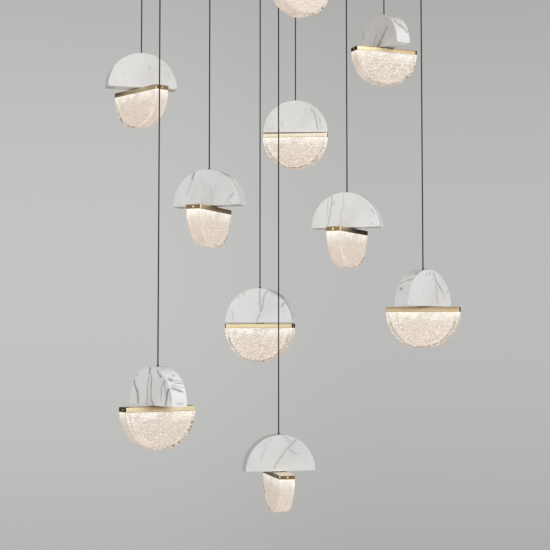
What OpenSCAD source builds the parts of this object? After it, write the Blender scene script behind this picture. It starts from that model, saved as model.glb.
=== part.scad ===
// Cluster ceiling light of ten pendants. Each pendant is a half-round marble slab over a half-round
// cast glass block that swivels under it. Origin: centre of the ceiling plane, +Z up, -Y to the front.

/* [Canopy] */
// Diameter of the canopy pan
canopy_d = 920; // [910:5:1200]
// Depth of the canopy pan below the ceiling
canopy_h = 45; // [44:1:90]
// Sheet thickness of the canopy pan
canopy_wall = 2; // [1:0.5:4]
// Radius of the pan's lower edge
canopy_edge_r = 6; // [2:1:12]
// Distance of each canopy bolt from the centre
bolt_ring_r = 300; // [260:5:320]
// Shank diameter of a canopy bolt
bolt_d = 6; // [5:1:10]
// Diameter of a canopy bolt's domed head
bolt_head_d = 16; // [14:1:24]

/* [Ceiling bracket] */
// Width of a bracket arm
arm_w = 50; // [40:5:80]
// Thickness of the bracket
bracket_t = 4; // [3:0.5:6]
// Distance between the tip of a bracket arm and the canopy's rim
arm_end_gap = 40; // [20:5:100]
// Diameter of the round plate where the arms cross
hub_d = 160; // [100:10:220]
// Radius of the circle of ceiling screw holes
ceiling_hole_ring_r = 190; // [150:5:240]
// Diameter of a ceiling screw hole
ceiling_hole_d = 9; // [6:0.5:12]
// Diameter of the hole for the supply cable
supply_hole_d = 24; // [16:1:40]

/* [Driver and terminals] */
// Length of an LED driver
driver_l = 180; // [120:5:220]
// Width of an LED driver
driver_w = 52; // [30:1:60]
// Height of an LED driver
driver_h = 28; // [18:1:34]
// Length of the terminal block
terminal_l = 60; // [40:1:80]
// Width of the terminal block
terminal_w = 22; // [16:1:30]
// Height of the terminal block
terminal_h = 18; // [12:1:25]

/* [Cord and grip] */
// Diameter of a pendant's cord
cord_d = 3.5; // [2:0.5:4.5]
// Diameter of a cord grip below the canopy
grip_d = 12; // [10:1:20]
// Length of a cord grip below the canopy
grip_l = 16; // [10:1:30]
// Thread diameter of a cord grip
grip_thread_d = 8; // [7:0.5:9.5]
// Width across flats of a cord grip's lock nut
grip_nut_w = 14; // [13:1:19]
// Thickness of a cord grip's lock nut
grip_nut_t = 4; // [3:0.5:8]

/* [Marble] */
// Thickness of the marble slab beyond the width of the bar
marble_extra_t = 1; // [0:0.5:6]
// Radius of the marble's polished edge
marble_edge_r = 1.5; // [0.5:0.5:6]
// Chamfer along the marble's straight lower edges
marble_chamfer = 1; // [0.5:0.5:3]
// Diameter of the cord bush in the crown of the marble
bush_d = 6; // [5.5:0.5:9]
// Height of the cord bush above the crown
bush_h = 5; // [1:0.5:8]
// Depth of the cord bush in the marble
bush_depth = 14; // [8:1:24]
// Diameter of the counterbore for the marble's nut
counterbore_d = 26; // [25:1:32]
// Depth of the counterbore for the marble's nut
counterbore_depth = 9; // [7:1:16]

/* [Swivel] */
// Outer diameter of the hollow stem
stem_d = 10; // [9:1:12]
// Bore of the hollow stem
stem_bore_d = 5; // [4.5:0.5:6]
// Outer diameter of the friction washer
washer_d = 24; // [20:1:30]
// Gap between the marble and the bar
washer_t = 2; // [1:0.5:5]
// Width across flats of the stem's nuts
nut_w = 17; // [16:1:19]
// Thickness of the swivel nut
nut_t = 5; // [4:0.5:6]

/* [Brass bar] */
// Length of the bar and diameter of the marble
bar_l = 200; // [170:1:240]
// Width of the bar and thickness of the glass
bar_w = 45; // [38:1:60]
// Height of the bar
bar_h = 13.5; // [12.5:0.5:20]
// Thickness of the bar's side walls
bar_wall = 2; // [1:0.5:4]
// Thickness of the bar's top
bar_top = 2.5; // [2:0.5:4]
// Diameter of the boss round the stem
boss_d = 20; // [16:1:22]
// Height of the boss below the bar's top
boss_h = 3; // [2:0.5:4]

/* [LED board] */
// Gap between an end of the LED board and the bar's end wall
board_end_gap = 3; // [1:0.5:20]
// Gap between the LED board and the bar's side walls
board_side_gap = 2.5; // [1:0.5:6]
// Thickness of the LED board
board_t = 1.6; // [1:0.2:2]
// Diameter of the board's hole round the boss
board_hole_d = 24; // [24:1:26]
// Number of LEDs in a row on each side of the stem
leds_per_side = 6; // [3:1:7]
// Distance of the last LED from the end of the board
led_end_margin = 18; // [6:1:30]
// Side of an LED
led_side = 5; // [2:0.5:5]

/* [Glass] */
// Radius of the glass half-round beyond half the bar's length
glass_extra_r = 1; // [0:0.5:4]
// Radius of the glass block's rounded rim
glass_edge_r = 7; // [2:0.5:14]
// Height of the tongue that seats in the bar
tongue_h = 6; // [5.5:0.5:7]
// Clearance round the tongue
tongue_gap = 0.3; // [0.1:0.1:1]
// Diameter of the pocket round the swivel nut
pocket_d = 26; // [24:1:30]

/* [Hidden] */
// One row for each pendant: cord place x and y, drop of the bar's top below the ceiling,
// turn of the marble and turn of the bar, in degrees counter-clockwise from above
PENDANTS = [
    [-377, 28, 542, 17, -48],
    [68, -375, 315, 10, 45],
    [331, 208, 387, -60, 23],
    [68, 400, 613, -2, -6],
    [-174, -126, 894, -23, 68],
    [209, 22, 941, -20, 64],
    [410, -95, 1165, 48, -14],
    [-39, 133, 1207, -15, -15],
    [-296, -296, 1424, -51, 33],
    [15, 4, 1619, 15, -76]
];
pendant_count = len(PENDANTS);

$fn = 96;

// Clearances between pieces
thread_gap = 0.1;
running_gap = 0.05;
stone_gap = 0.3;
bush_gap = 0.2;
cord_gap = 0.1;
swivel_play = 0.2;
pocket_gap = 1;

// Small details of the pendant's fittings
flange_t = 2;
flange_gap = 1.5;
spigot_l = 8;
stem_tip = 1;
bush_socket_depth = 12;
bush_lip = 1;
led_t = 0.8;

// Small details of the canopy's fittings
grip_thread_tip = 4;
grip_socket_cover = 1;
grip_shoulder = 3;
bolt_sleeve_wall = 3;
bolt_tip_gap = 0.5;

// Extra length of a cutting tool past the face that it cuts
cut = 1;

// Stone, tray, board and glass follow the length and width of the bar
marble_r = bar_l / 2;
marble_t = bar_w + marble_extra_t;
glass_r = bar_l / 2 + glass_extra_r;
glass_t = bar_w;
cavity_l = bar_l - 2 * bar_wall;
cavity_w = bar_w - 2 * bar_wall;
board_l = cavity_l - 2 * board_end_gap;
board_w = cavity_w - 2 * board_side_gap;
led_first_x = board_hole_d / 2 + led_side;
led_pitch = (board_l / 2 - led_end_margin - led_first_x) / (leds_per_side - 1);

// Heights in a pendant, measured from the top of its bar
marble_z = washer_t;
crown_z = marble_z + marble_r;
stem_top_z = crown_z - bush_depth;
bush_top_z = crown_z + bush_h;
cord_end_z = bush_top_z - bush_socket_depth;
swivel_nut_z = -bar_top - boss_h - swivel_play;
stem_end_z = swivel_nut_z - nut_t - stem_tip;
tongue_z = -bar_h + tongue_h;

// Heights in the canopy, measured from the ceiling
pan_floor_z = -canopy_h + canopy_wall;
grip_end_z = -canopy_h - grip_l;
grip_socket_z = pan_floor_z + grip_nut_t - grip_socket_cover;
sleeve_l = canopy_h - canopy_wall - bracket_t;
inner_edge_r = max(canopy_edge_r - canopy_wall, 0.5);
arm_l = canopy_d - 2 * arm_end_gap;

// Places of the two drivers and the terminal block on the pan's floor
DRIVER_PLACES = [[170, 190], [-190, -215]];
TERMINAL_PLACE = [-110, 25];

// Diameter of the canopy for which the places are listed: they spread with the canopy
layout_d = 920;
function on_canopy(place) = place * canopy_d / layout_d;
function cord_place(i) = on_canopy([PENDANTS[i][0], PENDANTS[i][1]]);
function drop(i) = PENDANTS[i][2];
function marble_turn(i) = PENDANTS[i][3];
function bar_turn(i) = PENDANTS[i][4];

// Places children at a pendant's swivel, turned about the hanging line
module at_pendant(i, turn = 0) {
    translate([cord_place(i)[0], cord_place(i)[1], -drop(i)])
        rotate([0, 0, turn])
            children();
}

// Places children at each pendant's cord, at the ceiling
module at_cords() {
    for (i = [0 : pendant_count - 1])
        translate([cord_place(i)[0], cord_place(i)[1], 0])
            children();
}

// Places children on the four bracket arms, a given distance from the centre
module on_arms(distance) {
    for (turn = [0 : 90 : 270])
        rotate([0, 0, turn])
            translate([distance, 0, 0])
                children();
}

// Cutting tool for a round hole that starts at the floor of what it cuts and runs past both faces
module drill(depth, diameter) {
    translate([0, 0, -cut])
        cylinder(h = depth + 2 * cut, d = diameter);
}

// Hexagon prism with a given width across flats
module hexagon(width, height) {
    cylinder(h = height, d = width / cos(30), $fn = 6);
}

// Section of a thick disc: a rectangle whose two outer corners are round
module disc_section(radius, thickness, edge) {
    translate([0, -thickness / 2])
        square([radius - edge, thickness]);
    translate([0, edge - thickness / 2])
        square([radius, thickness - 2 * edge]);
    for (side = [-1, 1])
        translate([radius - edge, side * (thickness / 2 - edge)])
            circle(r = edge);
}

// Upper half of a thick disc that stands on its flat side and faces the front
module half_disc(radius, thickness, edge) {
    rotate([90, 0, 0])
        intersection() {
            rotate_extrude()
                disc_section(radius, thickness, edge);
            translate([-radius, 0, -thickness / 2])
                cube([2 * radius, radius, thickness]);
        }
}

module ceiling_plate() {
    color("silver")
        translate([0, 0, -bracket_t])
            difference() {
                union() {
                    cylinder(h = bracket_t, d = hub_d);
                    for (turn = [0, 90])
                        rotate([0, 0, turn])
                            translate([-arm_l / 2, -arm_w / 2, 0])
                                cube([arm_l, arm_w, bracket_t]);
                }
                drill(bracket_t, supply_hole_d);
                on_arms(ceiling_hole_ring_r)
                    drill(bracket_t, ceiling_hole_d);
                on_arms(bolt_ring_r)
                    drill(bracket_t, bolt_d + 2 * thread_gap);
            }
}

// Section of the pan: a flat floor, a round lower edge and an upright wall
module pan_section(radius, depth, edge) {
    square([radius - edge, depth]);
    translate([0, edge])
        square([radius, depth - edge]);
    translate([radius - edge, edge])
        circle(r = edge);
}

module canopy_pan() {
    color("goldenrod")
        translate([0, 0, -canopy_h])
            difference() {
                rotate_extrude($fn = 180)
                    pan_section(canopy_d / 2, canopy_h, canopy_edge_r);
                translate([0, 0, canopy_wall])
                    rotate_extrude($fn = 180)
                        pan_section(canopy_d / 2 - canopy_wall, canopy_h, inner_edge_r);
                at_cords()
                    drill(canopy_wall, grip_thread_d + 2 * thread_gap);
                on_arms(bolt_ring_r)
                    drill(canopy_wall, bolt_d + 2 * thread_gap);
            }
}

// Domed head below the pan, shank up through the bracket and a sleeve that holds the pan off it
module canopy_bolt() {
    head_h = bolt_head_d / 2;
    intersection() {
        translate([0, 0, -canopy_h])
            sphere(d = bolt_head_d);
        translate([0, 0, -canopy_h - head_h])
            cylinder(h = head_h, d = bolt_head_d);
    }
    translate([0, 0, -canopy_h])
        cylinder(h = canopy_h - bolt_tip_gap, d = bolt_d);
    translate([0, 0, pan_floor_z])
        cylinder(h = sleeve_l, d = bolt_d + 2 * bolt_sleeve_wall);
}

module canopy_bolts() {
    color("goldenrod")
        on_arms(bolt_ring_r)
            canopy_bolt();
}

// Driver case with a raised lid and a cable entry at each end
module led_driver() {
    lid_inset = 3;
    entry_d = 12;
    entry_l = 6;
    translate([-driver_l / 2, -driver_w / 2, 0])
        cube([driver_l, driver_w, driver_h - lid_inset]);
    translate([lid_inset - driver_l / 2, lid_inset - driver_w / 2, 0])
        cube([driver_l - 2 * lid_inset, driver_w - 2 * lid_inset, driver_h]);
    translate([-driver_l / 2 - entry_l, 0, driver_h / 2])
        rotate([0, 90, 0])
            cylinder(h = driver_l + 2 * entry_l, d = entry_d);
}

module led_drivers() {
    color("whitesmoke")
        for (place = DRIVER_PLACES)
            translate([on_canopy(place)[0], on_canopy(place)[1], pan_floor_z])
                led_driver();
}

// Terminal block with a row of screw wells on top and wire entries on both sides
module terminal_block() {
    ways = 5;
    way_pitch = terminal_l / ways;
    well_d = 6;
    well_depth = 8;
    entry_d = 5;
    entry_depth = 3;
    color("white")
        translate([on_canopy(TERMINAL_PLACE)[0], on_canopy(TERMINAL_PLACE)[1], pan_floor_z])
            difference() {
                translate([-terminal_l / 2, -terminal_w / 2, 0])
                    cube([terminal_l, terminal_w, terminal_h]);
                for (way = [0 : ways - 1])
                    translate([(way + 0.5) * way_pitch - terminal_l / 2, 0, 0]) {
                        translate([0, 0, terminal_h - well_depth])
                            cylinder(h = well_depth + cut, d = well_d);
                        for (side = [-1, 1])
                            translate([0, side * terminal_w / 2, terminal_h / 4])
                                rotate([90, 0, 0])
                                    cylinder(h = 2 * entry_depth, d = entry_d, center = true);
                    }
            }
}

// Grip below the pan, thread through it and lock nut on the floor, with a socket for the cord
module cord_grip() {
    difference() {
        union() {
            translate([0, 0, grip_end_z + grip_shoulder])
                cylinder(h = grip_l - grip_shoulder, d = grip_d);
            translate([0, 0, grip_end_z])
                cylinder(h = grip_shoulder, d1 = grip_d - grip_shoulder, d2 = grip_d);
            translate([0, 0, -canopy_h])
                cylinder(h = canopy_wall + grip_nut_t + grip_thread_tip, d = grip_thread_d);
            translate([0, 0, pan_floor_z])
                hexagon(grip_nut_w, grip_nut_t);
        }
        translate([0, 0, grip_end_z - cut])
            cylinder(h = grip_socket_z - grip_end_z + cut, d = cord_d + 2 * cord_gap);
    }
}

module cord_grips() {
    color("black")
        at_cords()
            cord_grip();
}

// Bush in the marble's crown: the cord enters its socket and its spigot screws into the stem
module cord_bush() {
    difference() {
        union() {
            translate([0, 0, stem_top_z])
                cylinder(h = bush_top_z - stem_top_z - bush_lip, d = bush_d);
            translate([0, 0, bush_top_z - bush_lip])
                cylinder(h = bush_lip, d1 = bush_d, d2 = bush_d - bush_lip);
            translate([0, 0, stem_top_z - spigot_l])
                cylinder(h = spigot_l, d = stem_bore_d - 2 * thread_gap);
        }
        translate([0, 0, cord_end_z])
            cylinder(h = bush_socket_depth + cut, d = cord_d + 2 * cord_gap);
    }
}

module cord_bushes() {
    color("black")
        for (i = [0 : pendant_count - 1])
            at_pendant(i)
                cord_bush();
}

module pivot_stems() {
    color("silver")
        for (i = [0 : pendant_count - 1])
            at_pendant(i)
                translate([0, 0, stem_end_z])
                    difference() {
                        cylinder(h = stem_top_z - stem_end_z, d = stem_d);
                        drill(stem_top_z - stem_end_z, stem_bore_d);
                    }
}

// Flanged nut that carries the marble, above, and plain nut that carries the bar, below
module stem_nuts() {
    hole_d = stem_d + 2 * thread_gap;
    hex_h = counterbore_depth - flange_t;
    difference() {
        union() {
            translate([0, 0, marble_z])
                hexagon(nut_w, hex_h);
            translate([0, 0, marble_z + hex_h])
                cylinder(h = flange_t, d = counterbore_d - 2 * flange_gap);
        }
        translate([0, 0, marble_z])
            drill(counterbore_depth, hole_d);
    }
    translate([0, 0, swivel_nut_z - nut_t])
        difference() {
            hexagon(nut_w, nut_t);
            drill(nut_t, hole_d);
        }
}

module pivot_nuts() {
    color("silver")
        for (i = [0 : pendant_count - 1])
            at_pendant(i)
                stem_nuts();
}

module friction_washers() {
    color("ivory")
        for (i = [0 : pendant_count - 1])
            at_pendant(i)
                translate([0, 0, swivel_play / 2])
                    difference() {
                        cylinder(h = washer_t - swivel_play / 2, d = washer_d);
                        drill(washer_t, stem_d + 2 * thread_gap);
                    }
}

// Cord from the socket in its grip straight down to the socket in its bush
module cord(i) {
    bottom_z = cord_end_z - drop(i);
    color("black")
        translate([cord_place(i)[0], cord_place(i)[1], bottom_z])
            cylinder(h = grip_socket_z - bottom_z, d = cord_d, $fn = 32);
}

// Section across the marble slab, with its two straight lower edges chamfered
module slab_section() {
    half_t = marble_t / 2;
    polygon([
        [-half_t, marble_chamfer], [-half_t + marble_chamfer, 0],
        [half_t - marble_chamfer, 0], [half_t, marble_chamfer],
        [half_t, marble_r], [-half_t, marble_r]
    ]);
}

module marble(i) {
    color("white")
        at_pendant(i, marble_turn(i))
            translate([0, 0, marble_z])
                difference() {
                    intersection() {
                        half_disc(marble_r, marble_t, marble_edge_r);
                        rotate([90, 0, 90])
                            linear_extrude(height = 2 * marble_r, center = true)
                                slab_section();
                    }
                    translate([0, 0, -cut])
                        cylinder(h = counterbore_depth + cut, d = counterbore_d);
                    cylinder(h = stem_top_z - marble_z, d = stem_d + 2 * stone_gap);
                    cylinder(h = marble_r + cut, d = bush_d + 2 * bush_gap);
                }
}

// Brass tray that is open below, with a boss that turns on the stem
module bar(i) {
    color("goldenrod")
        at_pendant(i, bar_turn(i))
            difference() {
                union() {
                    difference() {
                        translate([-bar_l / 2, -bar_w / 2, -bar_h])
                            cube([bar_l, bar_w, bar_h]);
                        translate([-cavity_l / 2, -cavity_w / 2, -bar_h - cut])
                            cube([cavity_l, cavity_w, bar_h - bar_top + cut]);
                    }
                    translate([0, 0, -bar_top - boss_h])
                        cylinder(h = bar_top + boss_h, d = boss_d);
                }
                translate([0, 0, -bar_top - boss_h])
                    drill(bar_top + boss_h, stem_d + 2 * running_gap);
            }
}

// LED board against the underside of the bar's top, with two rows of LEDs on each side of the stem
module led_board(i) {
    row_y = board_w / 4;
    color("lightyellow")
        at_pendant(i, bar_turn(i))
            translate([0, 0, -bar_top - board_t])
                difference() {
                    union() {
                        translate([-board_l / 2, -board_w / 2, 0])
                            cube([board_l, board_w, board_t]);
                        for (end = [-1, 1], row = [-1, 1], k = [0 : leds_per_side - 1])
                            translate([end * (led_first_x + k * led_pitch), row * row_y, -led_t / 2])
                                cube([led_side, led_side, led_t], center = true);
                    }
                    translate([0, 0, -led_t])
                        drill(board_t + led_t, board_hole_d);
                }
}

// Cast glass half-round with a tongue that fills the mouth of the tray
module glass(i) {
    tongue_l = cavity_l - 2 * tongue_gap;
    tongue_w = cavity_w - 2 * tongue_gap;
    color("linen")
        at_pendant(i, bar_turn(i))
            difference() {
                union() {
                    translate([0, 0, -bar_h])
                        mirror([0, 0, 1])
                            half_disc(glass_r, glass_t, glass_edge_r);
                    translate([-tongue_l / 2, -tongue_w / 2, -bar_h - cut])
                        cube([tongue_l, tongue_w, tongue_h + cut]);
                }
                translate([0, 0, stem_end_z - pocket_gap])
                    cylinder(h = tongue_z - stem_end_z + pocket_gap + cut, d = pocket_d);
            }
}

ceiling_plate();
canopy_pan();
canopy_bolts();
led_drivers();
terminal_block();
cord_grips();
cord_bushes();
pivot_stems();
pivot_nuts();
friction_washers();
for (i = [0 : pendant_count - 1]) {
    cord(i);
    marble(i);
    bar(i);
    led_board(i);
    glass(i);
}
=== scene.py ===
"""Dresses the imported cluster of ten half-round pendants: stone, brass, cast glass, cords, light and camera.

Lengths are in metres in the row frame: +Z is up, -Y is the front and the ceiling is at z = 0.
Places inside a pendant are in millimetres from the top of its bar, before the pendant is turned.
"""

import logging
import math
from dataclasses import dataclass, field, replace
from enum import Enum
from typing import Any, Union

import bmesh
import bpy
from mathutils import Matrix, Vector, noise


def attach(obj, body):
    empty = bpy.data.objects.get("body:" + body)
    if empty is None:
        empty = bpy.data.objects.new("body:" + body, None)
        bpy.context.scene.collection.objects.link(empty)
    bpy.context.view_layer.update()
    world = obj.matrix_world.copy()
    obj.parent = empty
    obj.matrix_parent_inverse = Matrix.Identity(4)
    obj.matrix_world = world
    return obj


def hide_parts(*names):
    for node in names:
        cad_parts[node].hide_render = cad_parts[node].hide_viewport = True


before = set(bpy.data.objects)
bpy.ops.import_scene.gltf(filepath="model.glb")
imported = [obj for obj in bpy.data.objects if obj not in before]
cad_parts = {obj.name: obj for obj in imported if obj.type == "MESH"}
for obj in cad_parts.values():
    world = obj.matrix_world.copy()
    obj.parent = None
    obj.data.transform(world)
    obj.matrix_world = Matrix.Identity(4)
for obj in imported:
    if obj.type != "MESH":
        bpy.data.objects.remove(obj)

LOG = logging.getLogger("pendant_cluster")
MM = 0.001
NEAR = 0.01
NOISE_SEED = 1795797806

Point = tuple[float, float, float]
Colour = tuple[float, float, float]
Number = Union["Wire", float]
ORIGIN: Point = (0.0, 0.0, 0.0)


class Slot(Enum):
    """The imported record's material slots for the pieces that are modelled here."""

    BRASS = "satin_brass"
    GLASS = "cast_glass"


class Grain(Enum):
    """Direction of the brush strokes on a metal, as the share of detail along each axis."""

    ALONG_X = (0.012, 1.0, 1.0)
    ALONG_Z = (1.0, 1.0, 0.012)
    NONE = (1.0, 1.0, 1.0)


# Shader graph


class Wire:
    """One output socket of a shader graph, on which arithmetic adds Math nodes."""

    def __init__(self, graph: "Graph", socket: bpy.types.NodeSocket) -> None:
        """Keeps the graph that the socket belongs to and the socket."""
        self.graph = graph
        self.socket = socket

    def math(self, operation: str, first: Number, second: Number = 0.0) -> "Wire":
        """Adds a Math node.

        Args:
            operation: Name of the Math node's operation.
            first: Value or wire of the first input.
            second: Value or wire of the second input.

        Returns:
            The node's result.
        """
        return self.graph.add("ShaderNodeMath", {"operation": operation}, {0: first, 1: second})

    def __add__(self, other: Number) -> "Wire":
        """Sum."""
        return self.math("ADD", self, other)

    def __sub__(self, other: Number) -> "Wire":
        """Difference."""
        return self.math("SUBTRACT", self, other)

    def __rsub__(self, other: Number) -> "Wire":
        """Difference with a number first."""
        return self.math("SUBTRACT", other, self)

    def __mul__(self, other: Number) -> "Wire":
        """Product."""
        return self.math("MULTIPLY", self, other)

    def __truediv__(self, other: Number) -> "Wire":
        """Quotient."""
        return self.math("DIVIDE", self, other)

    def __pow__(self, other: Number) -> "Wire":
        """Power."""
        return self.math("POWER", self, other)

    def __abs__(self) -> "Wire":
        """Absolute value."""
        return self.math("ABSOLUTE", self)

    def most(self, other: Number) -> "Wire":
        """The larger of two values."""
        return self.math("MAXIMUM", self, other)

    def least(self, other: Number) -> "Wire":
        """The smaller of two values."""
        return self.math("MINIMUM", self, other)

    def step(self, low: Number, high: Number, start: Number = 0.0, end: Number = 1.0) -> "Wire":
        """Goes smoothly from start to end while this value goes from low to high.

        Args:
            low: Value at which the rise begins.
            high: Value at which the rise ends.
            start: Result below low.
            end: Result above high.

        Returns:
            The smoothed value.
        """
        return self.graph.add(
            "ShaderNodeMapRange",
            {"interpolation_type": "SMOOTHSTEP"},
            {0: self, 1: low, 2: high, 3: start, 4: end},
        )

    def fade(self, low: Number, high: Number) -> "Wire":
        """Goes smoothly from 1 to 0 while this value goes from low to high."""
        return self.step(low, high, 1.0, 0.0)

    def linear(self) -> "Wire":
        """Linear light of a level as a display shows it."""
        return ((self + 0.055) / 1.055) ** 2.4

    def output(self, name: str) -> "Wire":
        """Another output of the node that this wire comes from."""
        return Wire(self.graph, self.socket.node.outputs[name])


class Graph:
    """Builds one node tree, of a material or of the world."""

    def __init__(self, tree: bpy.types.NodeTree) -> None:
        """Starts from an empty tree."""
        self.tree = tree
        self.tree.nodes.clear()

    def add(
        self,
        kind: str,
        settings: dict[str, Any] | None = None,
        inputs: dict[Union[str, int], Any] | None = None,
        output: Union[str, int] = 0,
    ) -> Wire:
        """Adds one node.

        Args:
            kind: The node's type name.
            settings: Attributes of the node, set before its sockets.
            inputs: Value or wire of each input socket, by its name or number.
            output: Name or number of the output that is wanted.

        Returns:
            That output.
        """
        node = self.tree.nodes.new(kind)
        for name, value in (settings or {}).items():
            setattr(node, name, value)
        for name, value in (inputs or {}).items():
            if isinstance(value, Wire):
                self.tree.links.new(value.socket, node.inputs[name])
            else:
                node.inputs[name].default_value = value
        return Wire(self, node.outputs[output] if node.outputs else None)

    def local(self, place: Point = ORIGIN, turn: float = 0.0) -> Wire:
        """Millimetres in the frame of a piece.

        Args:
            place: The frame's origin in metres.
            turn: The frame's turn about +Z in degrees.

        Returns:
            The position on the piece, as a vector.
        """
        coordinates = self.add("ShaderNodeTexCoord", output="Object")
        return self.add(
            "ShaderNodeMapping",
            {"vector_type": "TEXTURE"},
            {
                "Vector": coordinates,
                "Location": place,
                "Rotation": (0.0, 0.0, math.radians(turn)),
                "Scale": (MM, MM, MM),
            },
        )

    def vector(self, operation: str, first: Any, second: Any, output: str = "Vector") -> Wire:
        """Adds a Vector Math node.

        Args:
            operation: Name of the node's operation.
            first: First vector or wire.
            second: Second vector or wire.
            output: "Vector", or "Value" for a dot product or a length.

        Returns:
            The node's result.
        """
        return self.add("ShaderNodeVectorMath", {"operation": operation}, {0: first, 1: second}, output)

    def length(self, vector: Wire) -> Wire:
        """Length of a vector."""
        return self.vector("LENGTH", vector, ORIGIN, "Value")

    def part(self, vector: Wire, axis: str) -> Wire:
        """A vector's "X", "Y" or "Z"."""
        return self.add("ShaderNodeSeparateXYZ", None, {0: vector}, axis)

    def combine(self, x: Number, y: Number, z: Number) -> Wire:
        """The vector of three numbers."""
        return self.add("ShaderNodeCombineXYZ", None, {0: x, 1: y, 2: z})

    def noise(self, position: Wire, size: float, detail: float = 2.0, offset: float = 0.0) -> Wire:
        """Soft noise around 0.5.

        Args:
            position: Position in millimetres.
            size: Size of its patches in millimetres.
            detail: Number of finer layers.
            offset: Shift that makes another pattern of the same kind.

        Returns:
            The noise's value.
        """
        return self.add(
            "ShaderNodeTexNoise",
            {"noise_dimensions": "4D"},
            {"Vector": position, "W": offset, "Scale": 1.0 / size, "Detail": detail, "Roughness": 0.55},
            "Fac",
        )

    def mix(self, factor: Number, first: Any, second: Any) -> Wire:
        """Mixes two colours.

        Args:
            factor: Share of the second colour.
            first: Colour or wire at factor 0.
            second: Colour or wire at factor 1.

        Returns:
            The mixed colour.
        """
        first = first if isinstance(first, Wire) else (*first, 1.0)
        second = second if isinstance(second, Wire) else (*second, 1.0)
        return self.add("ShaderNodeMix", {"data_type": "RGBA"}, {"Factor": factor, 6: first, 7: second}, 2)

    def bump(self, height: Wire, distance: float, strength: float = 1.0) -> Wire:
        """Turns a height into a normal.

        Args:
            height: Height from 0 to 1.
            distance: Real height in metres that a height of 1 stands for.
            strength: Share of the effect.

        Returns:
            The bent normal.
        """
        return self.add("ShaderNodeBump", None, {"Strength": strength, "Distance": distance, "Height": height})

    def background(self, colour: Any, strength: Number) -> Wire:
        """Adds a background shader with a colour and a strength."""
        return self.add("ShaderNodeBackground", None, {"Color": colour, "Strength": strength})

    def surface(self, **sockets: Any) -> None:
        """Ends a material's tree in a Principled BSDF.

        Args:
            sockets: Value or wire of each socket, its name written with underscores for spaces.
        """
        named = {name.replace("_", " "): value for name, value in sockets.items()}
        shader = self.add("ShaderNodeBsdfPrincipled", {"distribution": "MULTI_GGX"}, named)
        self.add("ShaderNodeOutputMaterial", None, {"Surface": shader})


def material(name: str) -> tuple[bpy.types.Material, Graph]:
    """Makes a material with an empty graph.

    Args:
        name: The material's name.

    Returns:
        The material and its graph.
    """
    made = bpy.data.materials.new(name)
    made.use_nodes = True
    return made, Graph(made.node_tree)


# Finishes


@dataclass(frozen=True)
class Vein:
    """One vein of the stone: a thin sheet through the slab, bounded along its length.

    The sheet holds the line from start to end and the direction lean. Points are in millimetres
    from the middle of the slab's flat side. The width is half the vein's width, and the depth
    tells how dark it is.
    """

    start: Point
    end: Point
    width: float = 1.6
    depth: float = 0.5
    lean: Point = (0.0, 1.0, 0.0)
    on_round: bool = False
    joined: tuple[bool, bool] = (False, False)
    taper: float = 12.0

    def shade(self, graph: Graph, position: Wire, thickness: Wire, round_side: Wire) -> Wire:
        """How dark the vein is at a position.

        Args:
            graph: Graph of the stone's material.
            position: Wandering position in millimetres.
            thickness: Factor on the vein's width.
            round_side: 1 on the slab's round side and 0 on its flat faces.

        Returns:
            Darkness from 0 to 1.
        """
        start, end = Vector(self.start), Vector(self.end)
        along = (end - start).normalized()
        across = along.cross(Vector(self.lean)).normalized()
        length = (end - start).length
        off = abs(graph.vector("DOT_PRODUCT", position, tuple(across), "Value") - start.dot(across))
        run = graph.vector("DOT_PRODUCT", position, tuple(along), "Value") - start.dot(along)
        (first_out, first_in), (last_out, last_in) = (self._end(joined, length) for joined in self.joined)
        inside = run.step(-first_out, first_in) * (run - length).fade(-last_in, last_out)
        depth = min(0.95, 1.7 * self.depth)
        core = off.step(0.3 * self.width, thickness * (inside * 0.6 + 0.4) * (1.25 * self.width), depth, 0.0)
        halo = off.step(0.0, thickness * (5.0 * self.width), 0.26 * depth, 0.0)
        shade = core.most(halo) * inside
        return shade * round_side if self.on_round else shade

    def _end(self, joined: bool, length: float) -> tuple[float, float]:
        """How an end of the vein dies out.

        Args:
            joined: True where another vein goes on, which this one then overlaps.
            length: Length of the vein.

        Returns:
            How far the vein goes past its end, and how far inside the end it has its full strength.
        """
        if joined:
            return 2.5, -0.5
        soft = min(self.taper, 0.35 * length)
        return 0.3 * soft, 0.7 * soft


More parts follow.
